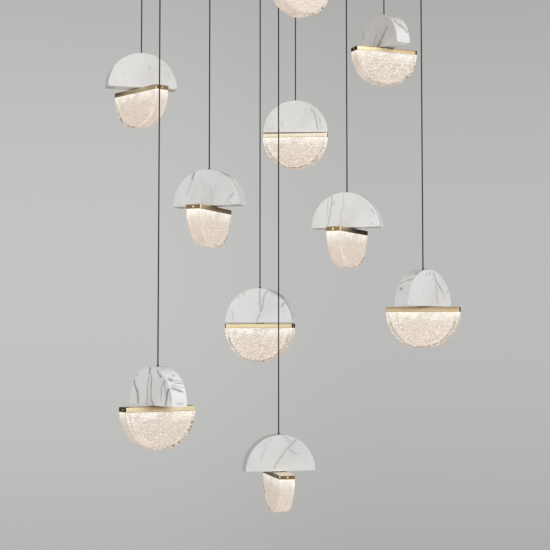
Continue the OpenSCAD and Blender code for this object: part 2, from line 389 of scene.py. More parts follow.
@dataclass(frozen=True)
class Marble:
    """White stone with soft clouds and grey veins, honed to a silk shine."""

    veins: tuple[Vein, ...]
    seed: float = 0.0
    # Painted light: a factor that makes a lighter or darker copy of the same stone
    painted_light: float = 1.0
    white: Colour = (0.87, 0.868, 0.862)
    cloud: Colour = (0.79, 0.787, 0.78)
    grey: Colour = (0.17, 0.17, 0.18)
    wander: float = 11.0
    face_end: float = 96.0
    rim_start: float = 98.5

    def build(self, name: str, place: Point, turn: float) -> bpy.types.Material:
        """Makes the stone's material for one slab.

        Args:
            name: The material's name.
            place: Middle of the slab's flat side in metres.
            turn: The slab's turn in degrees.

        Returns:
            The material.
        """
        made, graph = material(name)
        position = graph.local(place, turn)
        drift = graph.add(
            "ShaderNodeTexNoise",
            {"noise_dimensions": "4D"},
            {"Vector": position, "W": self.seed, "Scale": 1 / 26.0, "Detail": 4.0, "Roughness": 0.6},
            "Color",
        )
        drift = graph.vector("SUBTRACT", drift, (0.5, 0.5, 0.5))
        wandering = graph.vector("ADD", position, graph.vector("MULTIPLY", drift, (self.wander,) * 3))
        thickness = graph.noise(position, 14.0, 3.0, self.seed + 3.0) * 1.7 + 0.15
        clouds = graph.noise(wandering, 55.0, 4.0, self.seed + 7.0).step(0.42, 0.72)
        threads = abs(graph.noise(wandering, 70.0, 3.0, self.seed + 11.0) - 0.5).step(0.0, 0.012, 0.10, 0.0)
        dark = threads * graph.noise(position, 60.0, 1.0, self.seed + 5.0).step(0.45, 0.65)
        disc = graph.vector("MULTIPLY", position, (1.0, 0.0, 1.0))
        round_side = graph.length(disc).step(self.face_end, self.rim_start)
        for vein in self.veins:
            dark = dark.most(vein.shade(graph, wandering, thickness, round_side))
        # Painted light: the stone's white and cloud scaled by the factor
        white, cloud = (tuple(self.painted_light * part for part in shade) for shade in (self.white, self.cloud))
        colour = graph.mix(clouds * 0.75, white, cloud)
        colour = graph.mix(dark, colour, self.grey)
        grains = graph.noise(position, 0.9, 2.0)
        graph.surface(
            Base_Color=colour,
            Roughness=grains * 0.10 + 0.27,
            Normal=graph.bump(grains, 0.00004, 0.35),
            Coat_Weight=0.12,
            Coat_Roughness=0.12,
        )
        return made


@dataclass(frozen=True)
class PaintedLight:
    """A stretch of a bar, in millimetres along it, where painted shade and painted reflection darken
    the brass, or painted sheen makes it paler.
    """

    colour: Colour
    start: float
    end: float
    soft: float
    strength: float
    foot: float = 0.4

    def lay(self, graph: Graph, along: Wire, height: Wire, colour: Wire) -> Wire:
        """Lays the painted shade or painted sheen over the brass's colour, strongest at the bar's top
        where the foot is below 1.

        Args:
            graph: Graph of the brass's material.
            along: Place along the bar.
            height: Height from the bar's top.
            colour: The brass's colour.

        Returns:
            The new colour.
        """
        rise = along.step(self.start - self.soft, self.start + self.soft)
        inside = rise * along.fade(self.end - self.soft, self.end + self.soft)
        return graph.mix(inside * height.step(-13.0, -3.0, self.foot, 1.0) * self.strength, colour, self.colour)


def tarnish(graph: Graph, patches: Wire, colour: Colour, patina: Colour) -> Wire:
    """Lays a patina over a metal in patches.

    Args:
        graph: Graph of the metal's material.
        patches: Noise that places them.
        colour: The metal's colour.
        patina: The patina's colour.

    Returns:
        The mixed colour.
    """
    return graph.mix(patches.step(0.35, 0.75) * 0.6, colour, patina)


@dataclass(frozen=True)
class Metal:
    """A solid metal with brush strokes, uneven sheen and a light patina.

    The two edge values darken the upper and lower edge of a bar, in a bar's own frame. Along the
    upper edge this is painted shadow of the gap under the stone.
    """

    colour: Colour
    patina: Colour
    roughness: float = 0.26
    spread: float = 0.12
    stroke: float = 0.35
    grain: Grain = Grain.ALONG_X
    gap_shadow: float = 0.0
    lower_edge: float = 0.0
    edge_dark: Colour = (0.10, 0.075, 0.045)

    def shaded(self, factor: float) -> "Metal":
        """The same metal, darker or brighter by a factor."""
        colour, patina = (tuple(factor * part for part in shade) for shade in (self.colour, self.patina))
        return replace(self, colour=colour, patina=patina)

    def build(
        self, name: str, place: Point = ORIGIN, turn: float = 0.0, painted_lights: tuple[PaintedLight, ...] = ()
    ) -> bpy.types.Material:
        """Makes the metal's material.

        Args:
            name: The material's name.
            place: Origin of the piece's own frame in metres.
            turn: The piece's turn in degrees.
            painted_lights: Stretches with painted shade or painted sheen.

        Returns:
            The material.
        """
        made, graph = material(name)
        position = graph.local(place, turn)
        stretched = graph.vector("MULTIPLY", position, self.grain.value)
        strokes = graph.noise(stretched, self.stroke, 3.0)
        patches = graph.noise(position, 38.0, 4.0, 2.0)
        colour = tarnish(graph, patches, self.colour, self.patina)
        height = graph.part(position, "Z")
        # Painted shade and painted sheen laid along the bar
        for painted_light in painted_lights:
            colour = painted_light.lay(graph, height.output("X"), height, colour)
        # Painted shadow of the gap under the stone along the top edge, and a darker lower edge
        if self.gap_shadow:
            upper = height.step(-2.6, -0.9) * height.fade(-0.3, -0.1)
            edges = upper * self.gap_shadow + height.fade(-12.9, -11.2) * self.lower_edge
            colour = graph.mix(edges, colour, self.edge_dark)
        graph.surface(
            Base_Color=colour,
            Metallic=1.0,
            Roughness=strokes * self.spread + patches * 0.08 + (self.roughness - self.spread / 2 - 0.04),
            Normal=graph.bump(strokes, 0.00002, 0.5),
        )
        return made


@dataclass(frozen=True)
class Turned:
    """Sheet metal with brush strokes in rings round the fitting's middle."""

    colour: Colour
    patina: Colour
    roughness: float = 0.3

    def build(self, name: str) -> bpy.types.Material:
        """Makes the metal's material.

        Args:
            name: The material's name.

        Returns:
            The material.
        """
        made, graph = material(name)
        position = graph.local()
        radius = graph.length(graph.vector("MULTIPLY", position, (1.0, 1.0, 0.0)))
        strokes = graph.noise(graph.combine(radius, graph.part(position, "Z"), 0.0), 0.8, 3.0)
        patches = graph.noise(position, 120.0, 4.0, 2.0)
        graph.surface(
            Base_Color=tarnish(graph, patches, self.colour, self.patina),
            Metallic=1.0,
            Roughness=strokes * 0.12 + patches * 0.08 + (self.roughness - 0.1),
            Normal=graph.bump(strokes, 0.00002, 0.4),
        )
        return made


@dataclass(frozen=True)
class Moulded:
    """Moulded plastic with the fine texture of its tool."""

    colour: Colour
    roughness: float = 0.45
    texture: float = 0.7

    def build(self, name: str) -> bpy.types.Material:
        """Makes the plastic's material.

        Args:
            name: The material's name.

        Returns:
            The material.
        """
        made, graph = material(name)
        position = graph.local()
        grains = graph.noise(position, self.texture, 3.0)
        patches = graph.noise(position, 25.0, 3.0)
        darker = tuple(0.86 * part for part in self.colour)
        graph.surface(
            Base_Color=graph.mix(patches.step(0.3, 0.8), self.colour, darker),
            Roughness=grains * 0.14 + (self.roughness - 0.07),
            Normal=graph.bump(grains, 0.00006, 0.5),
        )
        return made


@dataclass(frozen=True)
class Sleeve:
    """Black round cable with the fine ribs of a braid under a thin skin."""

    colour: Colour = (0.016, 0.016, 0.017)
    worn: Colour = (0.032, 0.032, 0.034)

    def build(self, name: str) -> bpy.types.Material:
        """Makes the cable's material.

        Args:
            name: The material's name.

        Returns:
            The material.
        """
        made, graph = material(name)
        position = graph.local()
        braid = graph.add(
            "ShaderNodeTexWave",
            {"wave_type": "BANDS", "bands_direction": "DIAGONAL", "wave_profile": "SIN"},
            {"Vector": position, "Scale": 0.6, "Distortion": 0.0},
            "Fac",
        )
        wear = graph.noise(position, 18.0, 3.0)
        graph.surface(
            Base_Color=graph.mix(wear.step(0.45, 0.8) * 0.5, self.colour, self.worn),
            Roughness=braid * 0.1 + wear * 0.1 + 0.45,
            Specular_IOR_Level=0.25,
            Normal=graph.bump(braid, 0.00012, 0.6),
        )
        return made


@dataclass(frozen=True)
class Board:
    """White board with warm LEDs on its underside."""

    led_top: float
    mask: Colour = (0.86, 0.86, 0.82)
    phosphor: Colour = (0.95, 0.80, 0.35)
    mask_glow: Colour = (0.05, 0.045, 0.035)
    led_glow: Colour = (1.0, 0.83, 0.58)

    def build(self, name: str, place: Point, turn: float) -> bpy.types.Material:
        """Makes the board's material.

        Args:
            name: The material's name.
            place: Middle of the bar's top in metres.
            turn: The bar's turn in degrees.

        Returns:
            The material.
        """
        made, graph = material(name)
        position = graph.local(place, turn)
        led = graph.part(position, "Z").fade(self.led_top - 0.06, self.led_top - 0.02)
        grains = graph.noise(position, 0.6, 2.0)
        graph.surface(
            Base_Color=graph.mix(led, self.mask, self.phosphor),
            Roughness=grains * 0.1 + 0.35,
            Emission_Color=graph.mix(led, self.mask_glow, self.led_glow),
            Emission_Strength=2.0,
        )
        return made


@dataclass(frozen=True)
class Skin:
    """Pebbled skin of one glass block.

    It has a contrast, a grain in millimetres, a factor by which that lies wider than high, and a
    factor on the block's glow.
    """

    contrast: float = 1.0
    grain: float = 4.2
    lie: float = 1.5
    glow: float = 1.0


@dataclass(frozen=True)
class Spot:
    """Where a point of a glass block lies, in wires of millimetres from the middle of its flat side.

    Across is the distance from the block's middle plane, reach the distance in its face, arc the
    distance round its rim, and curved holds all three for streaks that follow the rim. Sunk is the
    depth below the flat side as a share of the radius, round_side is 1 where the faces have rounded
    over, and shown is 1 where the dark line near the rim is at its strongest.
    """

    position: Wire
    across: Wire
    reach: Wire
    arc: Wire
    curved: Wire
    sunk: Wire
    round_side: Wire
    shown: Wire


@dataclass(frozen=True)
class CastGlass:
    """Thick cast glass lit through its flat side: bright under the bar, warm and pebbled below."""

    radius: float
    flat: float
    thickness: float
    edge: float
    seed: float
    skin: Skin
    dash_side: float
    dash_line: float
    dash_specks: float
    base_level: float = 0.55
    dash_strength: float = 0.88
    body: Colour = (0.27, 0.25, 0.23)
    top_glow: Colour = (1.0, 0.93, 0.81)
    low_glow: Colour = (1.0, 0.83, 0.685)
    spot_glow: Colour = (1.0, 0.945, 0.86)
    dash_body: Colour = (0.14, 0.11, 0.09)
    dash_glow: Colour = (0.10, 0.075, 0.055)

    def build(self, name: str, place: Point, turn: float) -> bpy.types.Material:
        """Makes the glass block's material.

        Args:
            name: The material's name.
            place: Middle of the bar's top in metres.
            turn: The bar's turn in degrees.

        Returns:
            The material.
        """
        made, graph = material(name)
        spot = self._locate(graph, graph.local(place, turn))
        gleam = graph.add("ShaderNodeAttribute", {"attribute_name": "gleam"}, output="Fac") - 0.5
        level = self._level(graph, spot, gleam)
        glow = graph.mix(spot.sunk.step(0.0, 0.45), self.top_glow, self.low_glow)
        glow = graph.mix((level - 0.62).step(0.0, 0.35) * 0.6, glow, self.spot_glow)
        glow = graph.vector("MULTIPLY", glow, graph.combine(level, level, level))
        dark = self._dashes(graph, spot) * spot.sunk.step(0.10, 0.30) * spot.shown * self.dash_strength
        graph.surface(
            Base_Color=graph.mix(dark, self.body, self.dash_body),
            Roughness=gleam * 0.2 + 0.18,
            Emission_Color=graph.mix(dark, glow, self.dash_glow),
            Emission_Strength=1.0,
            Normal=graph.bump(graph.noise(spot.position, 2.6, 2.0, self.seed + 6.0), 0.0002, 0.4),
            Coat_Weight=0.3,
            Coat_Roughness=0.06,
        )
        return made

    def _locate(self, graph: Graph, position: Wire) -> Spot:
        """Measures where a point of the block lies.

        Args:
            graph: Graph of the glass material.
            position: Position in the pendant's millimetres.

        Returns:
            The point's measures.
        """
        along = graph.part(position, "X")
        across, below = along.output("Y"), self.flat - along.output("Z")
        reach = (along * along + below * below) ** 0.5
        arc = along.math("ARCTAN2", along, below) * self.radius
        rounded = reach.step(self.radius - 0.6 * self.edge, self.radius - 0.1 * self.edge)
        half = self.thickness / 2
        return Spot(
            position=position,
            across=across,
            reach=reach,
            arc=arc,
            curved=graph.combine(arc * 0.07, reach, across),
            sunk=below / self.radius,
            round_side=rounded * abs(across).fade(half - self.edge - 2.0, half - 0.5 * self.edge),
            shown=(along * self.dash_side).step(-20.0, 20.0, 1.0 - abs(self.dash_side), 1.0),
        )

    def _level(self, graph: Graph, spot: Spot, gleam: Wire) -> Wire:
        """How brightly the glass glows at a point.

        Args:
            graph: Graph of the glass material.
            spot: The point.
            gleam: How much light the dimples turn outwards, around 0.

        Returns:
            The level, around 0.6.
        """
        flecks = self._flecks(graph, spot.position)
        pebbles = (gleam * 0.50 + flecks) * (1.0 - spot.round_side * 0.6) * self.skin.contrast
        patches = (graph.noise(spot.position, 24.0, 3.0, self.seed) - 0.5) * 0.16
        border = spot.reach.step(self.radius - 34.0, self.radius - 8.0).most(spot.round_side)
        streaks = graph.noise(spot.curved, 4.0, 2.0, self.seed + 2.0) - 0.48
        arcs = streaks * border * (0.62 - spot.round_side * 0.22)
        half = self.thickness / 2
        outline = abs(spot.reach - (self.radius - 2.2)).fade(0.0, 2.2)
        outline = outline * abs(spot.across).step(half - self.edge, half - 3.0)
        outline = outline * graph.noise(spot.curved, 9.0, 2.0, self.seed + 5.0).step(0.35, 0.6)
        outline = outline * (spot.shown * 0.24 + 0.10)
        under_bar = graph.noise(spot.position, 26.0, 2.0, self.seed + 1.0).step(0.35, 0.6)
        under_bar = spot.sunk.fade(0.05, 0.30) * under_bar
        level = spot.sunk.step(0.0, 0.6, 0.06, 0.0) + spot.sunk.step(0.0, 0.08, 0.12, 0.0)
        level = level + under_bar * 0.16 + self.base_level
        return (level + pebbles + patches + arcs + outline) * self.skin.glow

    def _flecks(self, graph: Graph, position: Wire) -> Wire:
        """Fine grain with bright flecks and dark pits between them.

        Args:
            graph: Graph of the glass material.
            position: Position in millimetres.

        Returns:
            Change of brightness.
        """
        size = self.skin.grain
        shaped = graph.vector("MULTIPLY", position, (1.0, 1.0, self.skin.lie))
        grain = (graph.noise(shaped, size, 2.0, self.seed + 4.0) - 0.5) * 0.80
        bright = graph.noise(shaped, 1.3 * size, 1.0, self.seed + 7.0).step(0.58, 0.72)
        pits = graph.noise(shaped, 1.4 * size, 1.0, self.seed + 3.0).step(0.58, 0.74)
        return grain + bright * 0.36 - pits * 0.24

    def _dashes(self, graph: Graph, spot: Spot) -> Wire:
        """Thin broken dark line where the flat faces start to round over, and specks near it.

        Args:
            graph: Graph of the glass material.
            spot: The point.

        Returns:
            Darkness from 0 to 1.
        """
        wander = (graph.noise(spot.position, 16.0, 3.0, self.seed + 8.0) - 0.5) * 12.0
        bottom = abs(spot.arc).step(0.3 * self.radius, 1.1 * self.radius, 4.0, 0.0)
        off = abs(spot.reach + wander - (self.radius - self.edge - 2.5) - bottom)
        beads = graph.noise(graph.combine(spot.arc, 0.0, 0.0), 4.0, 3.0, self.seed + 9.0).step(0.38, 0.54)
        line = off.fade(0.5, 2.3) * beads * self.dash_line
        zone = spot.reach.step(self.radius - 13.0, self.radius - 8.0)
        zone = zone * spot.reach.fade(self.radius - 2.0, self.radius - 0.6)
        specks = graph.noise(spot.position, 6.0, 2.0, self.seed + 10.0).step(0.50, 0.56)
        specks = specks * zone * self.dash_specks
        face = abs(spot.across).step(self.thickness / 2 - 6.5, self.thickness / 2 - 3.5)
        return line.most(specks) * face


# Mesh work


def make_object(name: str, bm: bmesh.types.BMesh, finish: bpy.types.Material, smooth: bool = True) -> bpy.types.Object:
    """Turns a bmesh into an object in the scene, with one material.

    Args:
        name: The object's name.
        bm: The mesh, which is freed.
        finish: Its material.
        smooth: True for smooth shading.

    Returns:
        The object.
    """
    mesh = bpy.data.meshes.new(name)
    for face in bm.faces:
        face.smooth = smooth
    bm.to_mesh(mesh)
    bm.free()
    obj = bpy.data.objects.new(name, mesh)
    bpy.context.scene.collection.objects.link(obj)
    obj.data.materials.append(finish)
    return obj


def dress(node: str, finish: bpy.types.Material) -> None:
    """Gives a CAD node one material.

    Args:
        node: The node's name.
        finish: The material.
    """
    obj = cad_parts[node]
    if not obj.material_slots:
        obj.data.materials.append(finish)
    for slot in obj.material_slots:
        slot.material = finish
    LOG.info("dressed %s in %s", node, finish.name)


def open_loop(bm: bmesh.types.BMesh) -> list[bmesh.types.BMEdge]:
    """The edges of a mesh that have one face only."""
    return [edge for edge in bm.edges if edge.is_boundary]


def stretch(
    bm: bmesh.types.BMesh,
    edges: list[bmesh.types.BMEdge],
    shift: Point = ORIGIN,
    scale: Point = (1.0, 1.0, 1.0),
) -> list[bmesh.types.BMEdge]:
    """Extrudes a loop of edges.

    Args:
        bm: The mesh.
        edges: The loop.
        shift: Move of the new loop in millimetres.
        scale: Scale of the new loop about the origin.

    Returns:
        The new loop's edges.
    """
    made = bmesh.ops.extrude_edge_only(bm, edges=edges)["geom"]
    verts = [item for item in made if isinstance(item, bmesh.types.BMVert)]
    bmesh.ops.scale(bm, vec=scale, verts=verts)
    bmesh.ops.translate(bm, vec=shift, verts=verts)
    fresh = set(verts)
    return [item for item in made if isinstance(item, bmesh.types.BMEdge) and set(item.verts) <= fresh]


def circle(bm: bmesh.types.BMesh, radius: float, height: float, segments: int = 48) -> list[bmesh.types.BMEdge]:
    """Adds an open circle about the Z axis.

    Args:
        bm: The mesh.
        radius: Its radius in millimetres.
        height: Its height in millimetres.
        segments: Number of its edges.

    Returns:
        Its edges.
    """
    matrix = Matrix.Translation((0.0, 0.0, height))
    verts = bmesh.ops.create_circle(bm, cap_ends=False, segments=segments, radius=radius, matrix=matrix)["verts"]
    return list(dict.fromkeys(edge for vert in verts for edge in vert.link_edges))


def round_edges(bm: bmesh.types.BMesh, edges: list[bmesh.types.BMEdge], size: float, segments: int) -> None:
    """Rounds edges.

    Args:
        bm: The mesh.
        edges: The edges.
        size: Size of the rounding in millimetres.
        segments: Number of its facets.
    """
    bmesh.ops.bevel(
        bm,
        geom=edges,
        affect="EDGES",
        offset=size,
        offset_type="OFFSET",
        segments=segments,
        profile=0.5,
        material=-1,
    )


# Sub-assemblies


@dataclass
class GlassBlock:
    """Cast glass half-round with a pebbled skin, a round rim and a tongue that seats in the bar."""

    name: str
    place: Point
    turn: float
    seed: float
    radius: float = 101.0
    thickness: float = 45.0
    edge: float = 7.0
    corner: float = 5.2
    flat: float = -13.5
    tongue_length: float = 195.4
    tongue_width: float = 40.4
    tongue_top: float = -7.5
    pocket_radius: float = 13.0
    pocket_floor: float = -12.7
    skin: Skin = Skin()
    dash_side: float = 0.0
    relief: float = 1.4
    cell: float = 8.0
    squash: float = 1.35
    swell: float = 22.0
    flattening: float = 2.3
    lump: float = 24.0
    rings: int = 46
    corner_steps: int = 7
    rim_steps: int = 15
    spokes: int = 150

    def build(self) -> bpy.types.Object:
        """Makes the block in its place.

        Returns:
            The glass object.
        """
        bm = bmesh.new()
        self._spin_section(bm)
        self._add_tongue(bm)
        bmesh.ops.remove_doubles(bm, verts=bm.verts, dist=NEAR)
        bmesh.ops.recalc_face_normals(bm, faces=bm.faces)
        gleams = self._pebble(bm)
        bmesh.ops.transform(bm, matrix=pendant_matrix(self.place, self.turn), verts=bm.verts)
        line, specks = (0.9, 0.5) if self.dash_side == 0.0 else (0.4, 1.0)
        shape = (self.radius, self.flat, self.thickness, self.edge)
        finish = CastGlass(*shape, self.seed, self.skin, self.dash_side, line, specks)
        obj = make_object(self.name, bm, finish.build(self.name, self.place, self.turn))
        attribute = obj.data.attributes.new("gleam", "FLOAT", "POINT")
        attribute.data.foreach_set("value", gleams)
        return obj

    def _spin_section(self, bm: bmesh.types.BMesh) -> None:
        """Spins the section of the block half a turn below its flat side.

        Args:
            bm: The mesh.
        """
        half, inner = self.thickness / 2, self.radius - self.corner
        section = [(inner * step / self.rings, -half) for step in range(self.rings + 1)]
        for step in range(1, self.corner_steps + 1):
            angle = math.pi / 2 * step / self.corner_steps
            section.append((inner + self.corner * math.sin(angle), -half + self.corner * (1.0 - math.cos(angle))))
        rim_width = self.thickness - 2 * self.corner
        for step in range(1, self.rim_steps):
            section.append((self.radius, -half + self.corner + rim_width * step / self.rim_steps))
        section += [(reach, -depth) for reach, depth in reversed(section[: self.rings + self.corner_steps + 1])]
        verts = [bm.verts.new((reach, depth, self.flat)) for reach, depth in section]
        edges = [bm.edges.new(pair) for pair in zip(verts, verts[1:])]
        bmesh.ops.spin(
            bm,
            geom=verts + edges,
            cent=(0.0, 0.0, self.flat),
            axis=(0.0, 1.0, 0.0),
            dvec=ORIGIN,
            angle=math.pi,
            steps=self.spokes,
            use_merge=False,
        )
        bmesh.ops.remove_doubles(bm, verts=bm.verts, dist=NEAR)

    def _add_tongue(self, bm: bmesh.types.BMesh) -> None:
        """Closes the flat side with a shoulder, the tongue and the pocket for the swivel nut.

        Args:
            bm: The mesh, with the flat side open.
        """
        share = (self.tongue_length / (2 * self.radius), self.tongue_width / self.thickness, 1.0)
        shoulder = stretch(bm, open_loop(bm), scale=share)
        top = stretch(bm, shoulder, shift=(0.0, 0.0, self.tongue_top - self.flat))
        rim_edges = circle(bm, self.pocket_radius, self.tongue_top)
        bmesh.ops.triangle_fill(bm, use_beauty=True, edges=top + rim_edges)
        floor = stretch(bm, rim_edges, shift=(0.0, 0.0, self.pocket_floor - self.tongue_top))
        bmesh.ops.contextual_create(bm, geom=floor)

    def _flatten(self, spot: Vector) -> Vector:
        """Draws the lowest part of the rim in a little, as the mould leaves it.

        Args:
            spot: A point of the block.

        Returns:
            The point in its new place.
        """
        across = Vector((spot.x, 0.0, spot.z - self.flat))
        if across.z > -1.0:
            return spot
        down = -across.z / across.length
        lump = 0.5 + 0.5 * noise.noise(Vector((spot.x / self.lump, self.seed * 5.0, spot.z / self.lump)))
        inwards = (self.flattening * down**5 + 0.9 * lump * down) * (across.length / self.radius) ** 2
        return spot - across.normalized() * inwards

    def _pebble(self, bm: bmesh.types.BMesh) -> list[float]:
        """Presses dimples into the skin below the flat side.

        Args:
            bm: The block, unturned.

        Returns:
            How much light each vertex turns outwards, from 0 to 1 with 0.5 for a plain skin.
        """
        bm.normal_update()
        shift = Vector((self.seed * 31.0, self.seed * 17.0, self.seed * 7.0))
        heights: list[float] = []
        plain = [vert.normal.copy() for vert in bm.verts]
        for vert in bm.verts:
            vert.co = self._flatten(vert.co)
            spot = vert.co + shift
            cell = Vector((spot.x, spot.y, spot.z * self.squash)) / self.cell
            near = noise.voronoi(cell + 0.35 * noise.noise_vector(spot / 9.0))[0]
            swell = 0.5 + 0.5 * noise.noise(spot / self.swell)
            heights.append(0.7 * min(1.0, (near[1] - near[0]) / 0.55) + 0.3 * swell)
        for vert, normal, height in zip(bm.verts, plain, heights):
            grip = min(1.0, max(0.0, (self.flat - vert.co.z) / 5.0))
            vert.co += normal * (-self.relief * (1.0 - height) * grip)
        bm.normal_update()
        gleams = [
            0.5 + 1.3 * (vert.normal.z - normal.z) + 0.35 * (height - 0.6)
            for vert, normal, height in zip(bm.verts, plain, heights)
        ]
        return [min(1.0, max(0.0, gleam)) for gleam in gleams]


def pendant_matrix(place: Point, turn: float) -> Matrix:
    """Matrix that takes a pendant's millimetres to the row frame.

    Args:
        place: Middle of the bar's top in metres.
        turn: Turn about +Z in degrees.

    Returns:
        The matrix.
    """
    return Matrix.Translation(place) @ Matrix.Rotation(math.radians(turn), 4, "Z") @ Matrix.Scale(MM, 4)


@dataclass
class BrassBar:
    """Brass tray, open below, with a bored boss in the middle of its top."""

    name: str
    place: Point
    turn: float
    length: float = 200.0
    width: float = 45.0
    height: float = 13.5
    wall: float = 2.0
    top: float = 2.5
    boss_radius: float = 10.0
    boss_height: float = 3.0
    bore_radius: float = 5.05
    border: float = 3.0
    corner: float = 2.2
    bevel: float = 0.4

    def build(self, face: bpy.types.Material, end: bpy.types.Material) -> bpy.types.Object:
        """Makes the tray in its place.

        Args:
            face: Finish of the long sides, the top and the inside.
            end: Finish of the two ends, a darker copy of the brass with painted shade.

        Returns:
            The tray.
        """
        bm = bmesh.new()
        border, ceiling = self._shell(bm)
        self._boss(bm, border, ceiling)
        bmesh.ops.remove_doubles(bm, verts=bm.verts, dist=0.001)
        bmesh.ops.recalc_face_normals(bm, faces=bm.faces)
        round_edges(bm, [edge for edge in bm.edges if self._is_corner(edge)], self.corner, 8)
        round_edges(bm, [edge for edge in bm.edges if self._is_outline(edge)], self.bevel, 2)
        bm.normal_update()
        for item in bm.faces:
            at_end = abs(item.calc_center_median().x) > self.length / 2 - 0.1
            item.material_index = int(at_end and abs(item.normal.x) > 0.98)
        bmesh.ops.transform(bm, matrix=pendant_matrix(self.place, self.turn), verts=bm.verts)
        obj = make_object(self.name, bm, face, smooth=False)
        obj.data.materials.append(end)
        return obj

    def _shell(self, bm: bmesh.types.BMesh) -> tuple[list[bmesh.types.BMEdge], list[bmesh.types.BMEdge]]:
        """Folds the top's border, the outer walls, their lower edges and the inner walls from one outline.

        Args:
            bm: The mesh.

        Returns:
            The inner edges of the top's border and the upper edges of the inner walls.
        """
        x, y = self.length / 2, self.width / 2
        inner = ((x - self.border) / x, (y - self.border) / y, 1.0)
        verts = [bm.verts.new(spot) for spot in ((-x, -y, 0.0), (x, -y, 0.0), (x, y, 0.0), (-x, y, 0.0))]
        outline = [bm.edges.new((verts[i], verts[(i + 1) % 4])) for i in range(4)]
        border = stretch(bm, outline, scale=inner)
        walls = stretch(bm, outline, shift=(0.0, 0.0, -self.height))
        lips = stretch(bm, walls, scale=((x - self.wall) / x, (y - self.wall) / y, 1.0))
        ceiling = stretch(bm, lips, shift=(0.0, 0.0, self.height - self.top))
        return border, ceiling

    def _boss(
        self, bm: bmesh.types.BMesh, border: list[bmesh.types.BMEdge], ceiling: list[bmesh.types.BMEdge]
    ) -> None:
        """Joins the ceiling to the boss and the boss's bore to the top.

        Args:
            bm: The mesh.
            border: Inner edges of the top's border.
            ceiling: Upper edges of the inner walls.
        """
        root = circle(bm, self.boss_radius, -self.top)
        bmesh.ops.bridge_loops(bm, edges=ceiling + root)
        foot = stretch(bm, root, shift=(0.0, 0.0, -self.boss_height))
        share = self.bore_radius / self.boss_radius
        mouth = stretch(bm, foot, scale=(share, share, 1.0))
        bore = stretch(bm, mouth, shift=(0.0, 0.0, self.top + self.boss_height))
        bmesh.ops.bridge_loops(bm, edges=border + bore)

    def _is_corner(self, edge: bmesh.types.BMEdge) -> bool:
        """Tells the four upright outer edges.

        Args:
            edge: An edge of the tray.

        Returns:
            True for one of the four.
        """
        return all(
            abs(abs(vert.co.x) - self.length / 2) < NEAR and abs(abs(vert.co.y) - self.width / 2) < NEAR
            for vert in edge.verts
        )

    def _is_outline(self, edge: bmesh.types.BMEdge) -> bool:
        """Tells the outer edges of the top and of the lower lip.

        Args:
            edge: An edge of the tray.

        Returns:
            True for one of them.
        """
        if len(edge.link_faces) != 2 or edge.calc_face_angle(0.0) < 1.0:
            return False
        level = any(all(abs(vert.co.z - z) < NEAR for vert in edge.verts) for z in (0.0, -self.height))
        reach = max(abs(edge.verts[0].co.x) / self.length, abs(edge.verts[0].co.y) / self.width)
        return level and reach > 0.485


@dataclass
class EndScrews:
    """Countersunk socket screws, one in the middle of each end of the bar."""

    name: str
    place: Point
    turn: float
    bar_length: float = 200.0
    bar_height: float = 13.5
    head_radius: float = 2.6
    head_height: float = 0.7
    head_bevel: float = 0.35
    socket_radius: float = 1.25
    socket_depth: float = 0.6

    def build(self, finish: bpy.types.Material) -> bpy.types.Object:
        """Makes both screws in their place.

        Args:
            finish: The screws' material.

        Returns:
            The object with both screws.
        """
        bm = bmesh.new()
        reach = self.bar_length / 2 + self.head_height / 2
        for side in (-1.0, 1.0):
            place = Matrix.Translation((side * reach, 0.0, -self.bar_height / 2))
            turn = Matrix.Rotation(side * math.pi / 2, 4, "Y")
            bmesh.ops.transform(bm, matrix=place @ turn, verts=self._head(bm))
        bmesh.ops.recalc_face_normals(bm, faces=bm.faces)
        bmesh.ops.transform(bm, matrix=pendant_matrix(self.place, self.turn), verts=bm.verts)
        return make_object(self.name, bm, finish, smooth=False)

    def _head(self, bm: bmesh.types.BMesh) -> list[bmesh.types.BMVert]:
        """Adds one screw head with its socket, facing up at the origin.

        Args:
            bm: The mesh.

        Returns:
            The head's vertices.
        """
        before = set(bm.verts)
        size = self.head_radius
        bmesh.ops.create_cone(bm, cap_ends=True, segments=36, radius1=size, radius2=size, depth=self.head_height)
        round_edges(bm, list(self._cap(bm, before).edges), self.head_bevel, 3)
        cap = self._cap(bm, before)
        bmesh.ops.inset_region(bm, faces=[cap], thickness=size - self.head_bevel - self.socket_radius)
        sunk = bmesh.ops.extrude_face_region(bm, geom=[cap])["geom"]
        floor = [item for item in sunk if isinstance(item, bmesh.types.BMVert)]
        bmesh.ops.delete(bm, geom=[cap], context="FACES_ONLY")
        bmesh.ops.translate(bm, vec=(0.0, 0.0, -self.socket_depth), verts=floor)
        return [vert for vert in bm.verts if vert not in before]

    @staticmethod
    def _cap(bm: bmesh.types.BMesh, before: set[bmesh.types.BMVert]) -> bmesh.types.BMFace:
        """The highest and largest face that holds none of the vertices from before."""
        faces = [face for face in bm.faces if not before.intersection(face.verts)]
        return max(faces, key=lambda face: (round(face.calc_center_median().z, 4), face.calc_area()))


